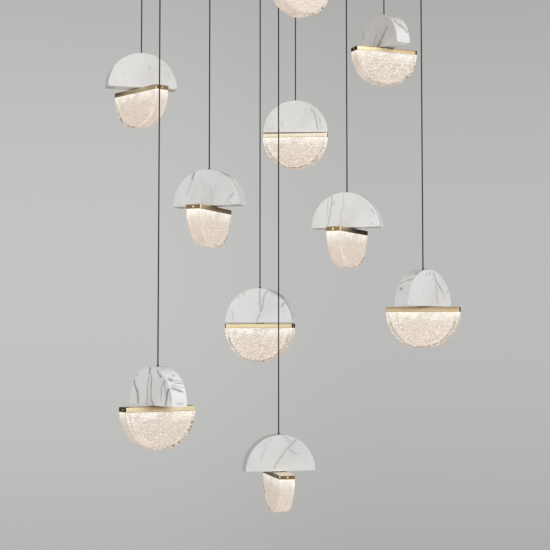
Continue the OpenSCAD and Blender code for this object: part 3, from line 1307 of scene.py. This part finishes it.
@dataclass
class Pendant:
    """One pendant: its stone, bar, board, glass, screws and cord.

    Place and drop are those of the bar's top in millimetres, and the turns are in degrees
    counter-clockwise from above. Stone is a factor of painted light on the marble's brightness, and
    end_shade one of painted shade on the bar's ends.
    """

    number: int
    x: float
    y: float
    drop: float
    marble_turn: float
    bar_turn: float
    veins: tuple[Vein, ...]
    skin: Skin = Skin()
    stone: float = 1.0
    painted_lights: tuple[PaintedLight, ...] = ()
    end_shade: float = 1.0
    cord_top: float = -40.0
    cord_end: float = 95.0
    cord_diameter: float = 3.5
    slab_gap: float = 2.0
    led_top: float = -4.1

    @property
    def place(self) -> Point:
        """Middle of the bar's top in metres."""
        return (self.x * MM, self.y * MM, -self.drop * MM)

    def build(self, kit: "Kit") -> None:
        """Dresses the CAD pieces and adds those that only the looks have.

        Args:
            kit: The finishes that all pendants share.
        """
        k, place = self.number, self.place
        slab = (place[0], place[1], place[2] + self.slab_gap * MM)
        # Painted light: the stone factor makes this slab's marble a lighter or darker copy
        stone = Marble(self.veins, float(k), self.stone)
        dress(f"marble_{k}", stone.build(f"marble_{k}", slab, self.marble_turn))
        dress(f"led_board_{k}", Board(self.led_top).build(f"board_{k}", place, self.bar_turn))
        self._add_bar(kit)
        self._add_glass()
        self._add_screws(kit)
        self._declare_cord(kit)

    def _add_bar(self, kit: "Kit") -> None:
        """Makes the brass bar, which stands for the CAD one.

        Args:
            kit: The finishes that all pendants share.
        """
        face = kit.brass.build(f"bar_brass_{self.number}", self.place, self.bar_turn, self.painted_lights)
        # Painted shade: the ends get the dark copy of the brass, scaled for each pendant
        end = kit.shaded_end_brass.shaded(self.end_shade).build(f"bar_end_painted_shade_{self.number}", self.place, self.bar_turn)
        bar = BrassBar(f"brass_bar_{self.number}", self.place, self.bar_turn).build(face, end)
        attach(bar, f"light_{self.number}")
        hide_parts(f"bar_{self.number}")
        LOG.info("made %s with %d faces", bar.name, len(bar.data.polygons))

    def _add_glass(self) -> None:
        """Makes the glass block, which stands for the CAD one."""
        far_side = 0.0 if abs(self.bar_turn) < 20.0 else math.copysign(0.93, self.bar_turn)
        seed = float(self.number)
        name = f"glass_block_{self.number}"
        block = GlassBlock(name, self.place, self.bar_turn, seed, skin=self.skin, dash_side=far_side).build()
        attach(block, f"light_{self.number}")
        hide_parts(f"glass_{self.number}")
        LOG.info("made %s with %d faces", block.name, len(block.data.polygons))

    def _add_screws(self, kit: "Kit") -> None:
        """Makes the two screws in the bar's ends.

        Args:
            kit: The finishes that all pendants share.
        """
        screws = EndScrews(f"end_screws_{self.number}", self.place, self.bar_turn).build(kit.screw)
        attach(screws, f"light_{self.number}")
        LOG.info("made %s", screws.name)

    def _declare_cord(self, kit: "Kit") -> None:
        """Dresses the cord in its sleeve and works out its path down to the bar.

        Args:
            kit: The finishes that all pendants share.
        """
        node = f"cord_{self.number}"
        dress(node, kit.sleeve)
        top, bottom = self.cord_top * MM, (self.cord_end - self.drop) * MM
        steps = 16
        path = [(self.x * MM, self.y * MM, top + (bottom - top) * step / steps) for step in range(steps + 1)]
        top - bottom
        self.cord_diameter * MM


@dataclass
class Kit:
    """Finishes that several pieces share."""

    brass: Metal = Metal((0.82, 0.70, 0.48), (0.76, 0.60, 0.36), 0.34, gap_shadow=0.2, lower_edge=0.2)
    # Painted shade: a much darker copy of the brass for the bar's ends, where the reflections are dark
    shaded_end_brass: Metal = Metal((0.20, 0.137, 0.077), (0.15, 0.10, 0.052), 0.36, 0.1, 0.35, Grain.ALONG_Z, 0.5, 0.3)
    screw: bpy.types.Material = field(init=False)
    sleeve: bpy.types.Material = field(init=False)

    def __post_init__(self) -> None:
        """Builds the finishes that don't depend on a piece's place."""
        polished = Metal((0.86, 0.74, 0.52), (0.7, 0.56, 0.36), 0.2, 0.06, 0.3, Grain.NONE)
        self.screw = polished.build("screw_brass")
        self.sleeve = Sleeve().build("cord_sleeve")


@dataclass
class CeilingFitting:
    """The canopy, its bracket and what is in it, and the small fittings of all pendants."""

    brass: Turned = Turned((0.78, 0.62, 0.40), (0.66, 0.50, 0.30))
    bolt: Metal = Metal((0.82, 0.67, 0.44), (0.7, 0.54, 0.34), 0.22, 0.06, 0.5, Grain.NONE)
    zinc: Metal = Metal((0.58, 0.59, 0.61), (0.46, 0.47, 0.49), 0.5, 0.1, 1.2, Grain.NONE)

    def build(self) -> None:
        """Dresses the CAD nodes of the fitting."""
        dress("canopy_pan", self.brass.build("canopy_brass"))
        dress("canopy_bolts", self.bolt.build("bolt_brass"))
        dress("ceiling_plate", self.zinc.build("zinc_plate"))
        steel = self.zinc.build("zinc_fitting")
        for node in ("pivot_stems", "pivot_nuts"):
            dress(node, steel)
        dress("led_drivers", Moulded((0.80, 0.80, 0.78), 0.5).build("driver_case"))
        dress("terminal_block", Moulded((0.82, 0.81, 0.76), 0.4).build("terminal_plastic"))
        dress("friction_washers", Moulded((0.78, 0.75, 0.66), 0.4).build("washer_nylon"))
        black = Moulded((0.030, 0.030, 0.032), 0.42).build("black_fitting")
        for node in ("cord_grips", "cord_bushes"):
            dress(node, black)


@dataclass(frozen=True)
class Lamp:
    """A soft square lamp that aims at the cluster's middle.

    The turn is in degrees to the right of the front, seen from above, and the rise in degrees above
    the horizon. Distance and side are in metres and the power is in watts.
    """

    name: str
    turn: float
    rise: float
    distance: float
    side: float
    power: float

    def build(self, middle: Point) -> None:
        """Adds the lamp.

        Args:
            middle: The point that it aims at.
        """
        a, e = math.radians(self.turn), math.radians(self.rise)
        toward = Vector((math.sin(a) * math.cos(e), -math.cos(a) * math.cos(e), math.sin(e)))
        data = bpy.data.lights.new(self.name, "AREA")
        data.shape = "SQUARE"
        data.size = self.side
        data.energy = self.power
        lamp = bpy.data.objects.new(self.name, data)
        lamp.location = Vector(middle) + toward * self.distance
        lamp.rotation_euler = toward.to_track_quat("Z", "Y").to_euler()
        bpy.context.scene.collection.objects.link(lamp)
        LOG.info("lamp %s", self.name)


@dataclass
class Studio:
    """Camera, backdrop light and lamps.

    The wall is a display level that falls to the right and away from wall_middle, a height in
    degrees, over wall_reach degrees. Sheen is what metal mirrors of it, behind and in front of the
    cluster.
    """

    middle: Point = (0.0, 0.0, -0.95)
    lamps: tuple[Lamp, ...] = (
        Lamp("key", turn=28.0, rise=15.0, distance=5.0, side=3.6, power=84.0),
        Lamp("side", turn=80.0, rise=34.0, distance=5.0, side=2.6, power=30.0),
        Lamp("fill", turn=-52.0, rise=8.0, distance=5.2, side=4.0, power=38.0),
    )
    camera_place: Point = (0.015, -3.795, -1.250)
    camera_pitch: float = 3.82
    camera_yaw: float = 0.152
    lens: float = 88.6
    shift: float = -0.0491
    ambient: float = 0.53
    wall_level: float = 196 / 255
    wall_right: float = 8 / 255
    wall_fall: float = 13.5 / 255
    wall_middle: float = 2.8
    wall_reach: float = 11.2
    wall_blue: float = 0.978
    sheen_turn: float = 10.0
    sheen: tuple[float, float] = (0.21, 1.85)
    floor_height: float = -4.2
    floor_radius: float = 6.0

    def build(self) -> None:
        """Makes camera, world, lamps and floor."""
        self._camera()
        self._world()
        for lamp in self.lamps:
            lamp.build(self.middle)
        self._floor()
        bpy.context.scene.view_settings.view_transform = "Standard"

    def _camera(self) -> None:
        """Sets the photograph's camera."""
        data = bpy.data.cameras.new("camera")
        data.lens = self.lens
        data.sensor_width = 36.0
        data.shift_y = self.shift
        data.clip_end = 50.0
        camera = bpy.data.objects.new("camera", data)
        camera.location = self.camera_place
        camera.rotation_euler = (math.radians(90.0 + self.camera_pitch), 0.0, math.radians(self.camera_yaw))
        bpy.context.scene.collection.objects.link(camera)
        bpy.context.scene.camera = camera
        LOG.info("camera at %s", self.camera_place)

    def _world(self) -> None:
        """Lights the scene evenly and shows a graded grey wall, which metal mirrors brighter in front than behind."""
        world = bpy.data.worlds.new("studio")
        bpy.context.scene.world = world
        world.use_nodes = True
        graph = Graph(world.node_tree)
        direction = graph.add("ShaderNodeTexCoord", output="Generated")
        side = graph.part(direction, "X")
        middle, reach = (math.sin(math.radians(angle)) for angle in (self.wall_middle, self.wall_reach))
        rise = (side.output("Z") - middle) / reach
        shade = self.wall_level - side.step(-0.11, 0.075) * self.wall_right
        linear = (shade - (rise * rise).least(1.0) * self.wall_fall).linear()
        colour = graph.combine(linear, linear, linear * self.wall_blue)
        turn = math.radians(self.sheen_turn)
        ahead = graph.vector("DOT_PRODUCT", direction, (math.sin(turn), -math.cos(turn), 0.0), "Value")
        rays = graph.add("ShaderNodeLightPath", output="Is Camera Ray")
        wall = graph.background(colour, 1.0)
        light = graph.background((1.0, 1.0, 1.0, 1.0), self.ambient)
        shine = graph.background(colour, ahead.step(-0.70, 0.5, *self.sheen))
        unseen = graph.add("ShaderNodeMixShader", None, {0: rays.output("Is Glossy Ray"), 1: light, 2: shine})
        seen = rays.most(rays.output("Is Transmission Ray"))
        both = graph.add("ShaderNodeMixShader", None, {0: seen, 1: unseen, 2: wall})
        graph.add("ShaderNodeOutputWorld", None, {"Surface": both})

    def _floor(self) -> None:
        """Lays a pale round floor far below the cluster, which dissolves towards its edge."""
        bm = bmesh.new()
        place = (0.0, 0.0, self.floor_height)
        matrix = Matrix.Translation(place)
        bmesh.ops.create_circle(bm, cap_ends=True, segments=96, radius=self.floor_radius, matrix=matrix)
        made, graph = material("floor")
        position = graph.local(place)
        grains = graph.noise(position, 60.0, 4.0)
        radius = self.floor_radius / MM
        graph.surface(
            Base_Color=graph.mix(grains, (0.60, 0.60, 0.59), (0.64, 0.64, 0.63)),
            Roughness=0.8,
            Alpha=1.0 - graph.length(position).step(0.6 * radius, 0.99 * radius),
        )
        make_object("floor", bm, made, smooth=False)


# The pendants

# Colours of the painted shade, painted dark reflection and painted sheen laid along the bars
PAINTED_SHADE: Colour = (0.30, 0.16, 0.055)
PAINTED_DARK_REFLECTION: Colour = (0.085, 0.042, 0.014)
PAINTED_DEEP_SHADE: Colour = (0.05, 0.04, 0.025)
PAINTED_SHEEN: Colour = (1.0, 0.92, 0.78)


def front(x: float, z: float) -> Point:
    """A point on the slab's front face."""
    return (x, -23.0, z)


def line(*points: tuple[float, float], width: float = 1.6, depth: float = 0.5) -> tuple[Vein, ...]:
    """A crooked vein across the front face.

    Args:
        points: Its corners on the front face in millimetres.
        width: Half its width in millimetres.
        depth: Its darkness from 0 to 1.

    Returns:
        One vein for each straight stretch.
    """
    last = len(points) - 2
    return tuple(
        Vein(front(*a), front(*b), width, depth, joined=(i > 0, i < last))
        for i, (a, b) in enumerate(zip(points, points[1:]))
    )


def rim(start: Point, end: Point, width: float = 1.4, depth: float = 0.5) -> Vein:
    """A vein that shows on the round side only and runs straight in towards the slab's middle.

    Args:
        start: Its first point.
        end: Its last point.
        width: Half its width in millimetres.
        depth: Its darkness from 0 to 1.

    Returns:
        The vein.
    """
    lean = (start[0] + end[0], 0.0, start[2] + end[2])
    return Vein(start, end, width, depth, lean, on_round=True)


def pendants() -> list[Pendant]:
    """Lists the ten pendants: place, drop, turns and veins, then skin, the stone's painted light
    and the brass's painted shade and sheen.

    Returns:
        The pendants, in the order of their numbers.
    """
    return [
        Pendant(1, -377, 28, 542, 17, -48, (
            *line((17, 68), (17, 48), width=2.5, depth=0.16),
            *line((-62, 70), (-60, 60), width=2.0, depth=0.14),
            *line((-54, 42), (-54, 30), width=1.6, depth=0.12),
            *line((-46, 20), (-46, 6), width=1.6, depth=0.12),
            *line((68, 40), (66, 20), width=1.5, depth=0.10),
            rim((-92, -19, 40), (-100, -17, 1), 1.3, 0.9),
        ), Skin(0.55), 0.95, (
            PaintedLight(PAINTED_SHADE, -120, -52, 26, 0.95),
            PaintedLight(PAINTED_SHADE, 40, 120, 30, 0.55),
        ), end_shade=1.12),
        Pendant(2, 68, -375, 315, 10, 45, (
            *line((-60, 70), (-20, 40), (-8, 0), width=1.6, depth=0.4),
            *line((30, 95), (44, 50), (60, 10), width=1.3, depth=0.3),
            *line((-20, 40), (10, 25), width=1.0, depth=0.3),
        ), Skin(0.3, glow=0.97)),
        Pendant(3, 331, 208, 387, -60, 23, (
            *line((53, 58), (41, 43), (27, 30), (17, 20), width=1.6, depth=0.55),
            *line((17, 20), (6, 8), (-3, 0), width=3.0, depth=0.6),
            *line((-4, 44), (-16, 28), (-20, 14), (-23, 3), width=1.5, depth=0.36),
            *line((-69, 64), (-76, 53), (-77, 36), width=1.5, depth=0.34),
            rim((72, -14, 69), (80, -8, 60), 1.6, 0.5),
            rim((80, -8, 60), (92, 12, 45), 2.8, 0.85),
            rim((92, 12, 45), (98, 21, 32), 2.0, 0.7),
            rim((88, 4, 46), (95, 16, 28), 1.4, 0.45),
        ), Skin(0.8, 6.0, 1.7, 0.93), 1.0, (
            PaintedLight(PAINTED_SHADE, 0, 120, 30, 0.66),
            PaintedLight(PAINTED_DEEP_SHADE, 93, 120, 3, 0.95, 1.0),
        ), end_shade=0.95),
        Pendant(4, 68, 400, 613, -2, -6, (
            *line((56, 72), (61, 57), (65, 42), (67, 28), (70, 5), width=1.3, depth=0.42),
            *line((45, 76), (54, 60), width=1.6, depth=0.22),
            *line((28, 74), (33, 66), width=1.6, depth=0.2),
            *line((73, 52), (79, 26), (80, 4), width=1.3, depth=0.2),
            *line((-42, 40), (-42, 14), width=2.0, depth=0.12),
            *line((-72, 20), (-70, 6), width=2.0, depth=0.12),
        ), Skin(0.95, 5.0, 2.2), 1.07, (PaintedLight(PAINTED_SHEEN, -120, 120, 5, 0.75),)),
        Pendant(5, -174, -126, 894, -23, 68, (
            *line((-33, 94), (-37, 82), (-42, 71), width=1.9, depth=0.58),
            *line((-42, 71), (-47, 54), (-54, 43), (-57, 28), width=1.5, depth=0.18),
            *line((-40, 40), (-41, 12), width=1.2, depth=0.14),
            *line((4, 57), (14, 47), (19, 32), (21, 6), width=1.1, depth=0.2),
            *line((-11, 68), (-9, 58), width=2.0, depth=0.16),
            *line((87, 32), (75, 22), (66, 14), (62, 4), width=1.3, depth=0.32),
            *line((72, 8), (76, 2), width=1.3, depth=0.3),
            *line((-40, 78), (-30, 50), (-34, 20), width=9.0, depth=0.05),
            *line((-18, 84), (-6, 56), (4, 40), width=7.0, depth=0.06),
        ), Skin(0.5, glow=1.01), 0.89, (PaintedLight(PAINTED_SHADE, -60, 120, 40, 0.75),), end_shade=0.86),
        Pendant(6, 209, 22, 941, -20, 64, (
            *line((-49, 84), (-50, 63), (-51, 48), (-53, 26), width=1.1, depth=0.2),
            *line((-37, 90), (-38.5, 72), (-38.5, 62), (-43, 44), (-47, 20), (-52, 2), width=1.3, depth=0.34),
            *line((-30, 80), (-32, 64), width=1.3, depth=0.24),
            *line((-4, 95), (-4, 72), (-3, 44), width=1.2, depth=0.2),
            *line((-11, 54), (-12, 20), (-16, 3), width=1.3, depth=0.2),
            *line((76, 50), (88, 36), width=1.2, depth=0.26),
            *line((80, 12), (81, 4), width=1.6, depth=0.24),
            rim((88, -12, 50), (90, -2, 45), 1.8, 0.45),
            rim((95, -4, 35), (98, 8, 20), 1.2, 0.3),
        ), Skin(0.45), 1.02, (PaintedLight(PAINTED_DARK_REFLECTION, -36, 150, 60, 1.0, 0.8),)),
        Pendant(7, 410, -95, 1165, 48, -14, (
            *line((-18, 88), (-14, 84), width=2.6, depth=0.4),
            *line((-3, 93), (1, 86), width=2.2, depth=0.34),
            *line((16, 94), (24, 78), (28, 65), width=1.8, depth=0.42),
            *line((28, 65), (31, 49), (33, 22), (37, 4), width=1.3, depth=0.3),
            *line((20, 82), (22, 62), (24, 48), width=1.2, depth=0.16),
            *line((60, 40), (66, 30), (69, 16), width=1.2, depth=0.2),
            *line((28, 72), (38, 64), (46, 54), (57, 43), (62, 35), width=1.6, depth=0.46),
            *line((-39, 54), (-30, 34), (-20, 17), (-11, 4), width=1.1, depth=0.16),
            *line((80, 46), (86, 38), width=1.6, depth=0.3),
            *line((11, 76), (14, 69), width=2.2, depth=0.24),
            rim((-66, -21, 76), (-74, 3, 67), 1.8, 0.42),
            rim((-74, 3, 67), (-81, 22, 59), 1.6, 0.32),
            rim((-46, -6, 89), (-52, -20, 85), 2.0, 0.46),
            rim((-40, 4, 92), (-62, 12, 79), 1.6, 0.3),
            rim((-34, -14, 94), (-44, -2, 90), 1.8, 0.34),
            rim((-86, 14, 50), (-89, 5, 46), 1.6, 0.5),
            rim((-89, 5, 46), (-91, 10, 41), 1.6, 0.5),
        ), Skin(0.75), 0.94, (PaintedLight(PAINTED_SHADE, -120, 120, 5, 0.6),), end_shade=1.3),
        Pendant(8, -39, 133, 1207, -15, -15, (
            *line((7, 100), (6, 84), (5.5, 72), (7, 48), (8.5, 28), width=1.9, depth=0.34),
            *line((31, 94), (20, 78), (16, 68), (13.5, 47), (9, 28), width=1.6, depth=0.36),
            *line((8.5, 28), (3, 16), (-5, 2), width=1.3, depth=0.34),
            *line((81, 58), (70, 44), width=2.0, depth=0.4),
            *line((-76, 40), (-76, 4), width=1.8, depth=0.2),
            *line((-46, 86), (-36, 82), width=1.8, depth=0.26),
            *line((-56, 80), (-62, 72), width=1.6, depth=0.24),
            *line((86, 20), (76, 14), width=1.3, depth=0.16),
            *line((30, 94), (56, 82), (72, 68), width=1.4, depth=0.34),
            rim((72, -22, 69), (90, -13, 43), 1.5, 0.5),
            rim((90, -13, 43), (99, 10, 10), 1.5, 0.55),
            rim((-93, 6, 36), (-95, 8, 28), 2.2, 0.6),
            rim((-95, 12, 28), (-99, 16, 4), 1.6, 0.4),
        ), Skin(0.95, glow=0.955), 1.0, (
            PaintedLight(PAINTED_SHADE, -120, 120, 5, 0.28),
            PaintedLight(PAINTED_DEEP_SHADE, -120, -96, 1.5, 0.85, 1.0),
        ), end_shade=1.22),
        Pendant(9, -296, -296, 1424, -51, 33, (
            *line((-79, 68), (-72, 50), (-60, 34), (-56, 16), (-55, 1), width=2.3, depth=0.78),
            *line((-68, 56), (-66, 34), (-64, 6), width=1.2, depth=0.22),
            *line((-1, 100), (-4, 77), width=3.0, depth=0.66),
            *line((-4, 77), (-10, 60), (-13, 42), (-15, 17), (-17, 2), width=1.6, depth=0.42),
            *line((6, 80), (5, 54), (2, 42), (4, 22), (9, 9), (16, 1), width=1.6, depth=0.48),
            *line((31, 93), (40, 82), (54, 72), width=2.0, depth=0.44),
            *line((66, 67), (60, 60), (54, 50), (50, 36), (46, 14), width=1.6, depth=0.46),
            *line((66, 67), (66, 54), (70, 35), (76, 24), width=1.5, depth=0.4),
            *line((85, 46), (79, 36), (75, 22), (68, 0), width=2.6, depth=1.1),
            *line((88, 40), (94, 12), width=1.6, depth=0.38),
            *line((-64, 78), (-60, 75), width=2.4, depth=0.5),
            rim((88, -22, 47), (94, 18, 36), 2.4, 1.0),
            rim((84, -22, 54), (92, 12, 40), 1.5, 0.45),
            rim((83, -14, 54), (87, 21, 47), 1.4, 0.4),
            rim((80, -6, 60), (82, 22, 57), 1.4, 0.4),
            rim((76, -6, 66), (79, 22, 63), 1.3, 0.34),
            rim((70, -18, 71), (76, -2, 66), 2.2, 0.5),
            rim((72, -20, 70), (79, -6, 62), 2.0, 0.4),
            rim((99, -16, 9), (99, 12, 8), 1.5, 0.26),
            rim((60, 2, 80), (66, 6, 75), 2.2, 0.4),
        ), Skin(0.9, glow=0.93), 1.09, (PaintedLight(PAINTED_SHADE, -50, 24, 20, 0.72),), end_shade=1.3),
        Pendant(10, 15, 4, 1619, 15, -76, (
            *line(
                (-21, 8), (-14, 20), (-7, 31), (2, 42), (11, 55), (19, 63), (29, 72), (36, 79), (45, 88),
                width=2.2, depth=0.27,
            ),
            *line((14, 84), (30, 74), width=3.5, depth=0.12),
            *line((30, 62), (48, 44), width=6.0, depth=0.06),
            *line((8, 96), (19, 89), (28, 82), (37, 76), width=1.6, depth=0.26),
            *line((-40, 80), (-44, 67), (-50, 50), (-55, 42), (-59, 28), width=2.6, depth=0.10),
            *line((22, 60), (33, 56), (41, 46), width=3.0, depth=0.18),
            *line((31, 50), (58, 48), width=2.0, depth=0.12),
            *line((-32, 88), (-28, 82), width=2.4, depth=0.14),
        ), Skin(0.42), 0.91, (PaintedLight(PAINTED_SHEEN, -120, 120, 5, 0.9),), end_shade=0.92),
    ]


def main() -> None:
    """Builds the studio, the ceiling fitting and the pendants."""
    logging.basicConfig(level=logging.INFO, format="%(name)s: %(message)s")
    noise.seed_set(NOISE_SEED)  # without a seed, noise_vector follows the clock
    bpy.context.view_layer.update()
    Studio().build()
    CeilingFitting().build()
    kit = Kit()
    for pendant in pendants():
        pendant.build(kit)


if __name__ == "__main__":
    main()
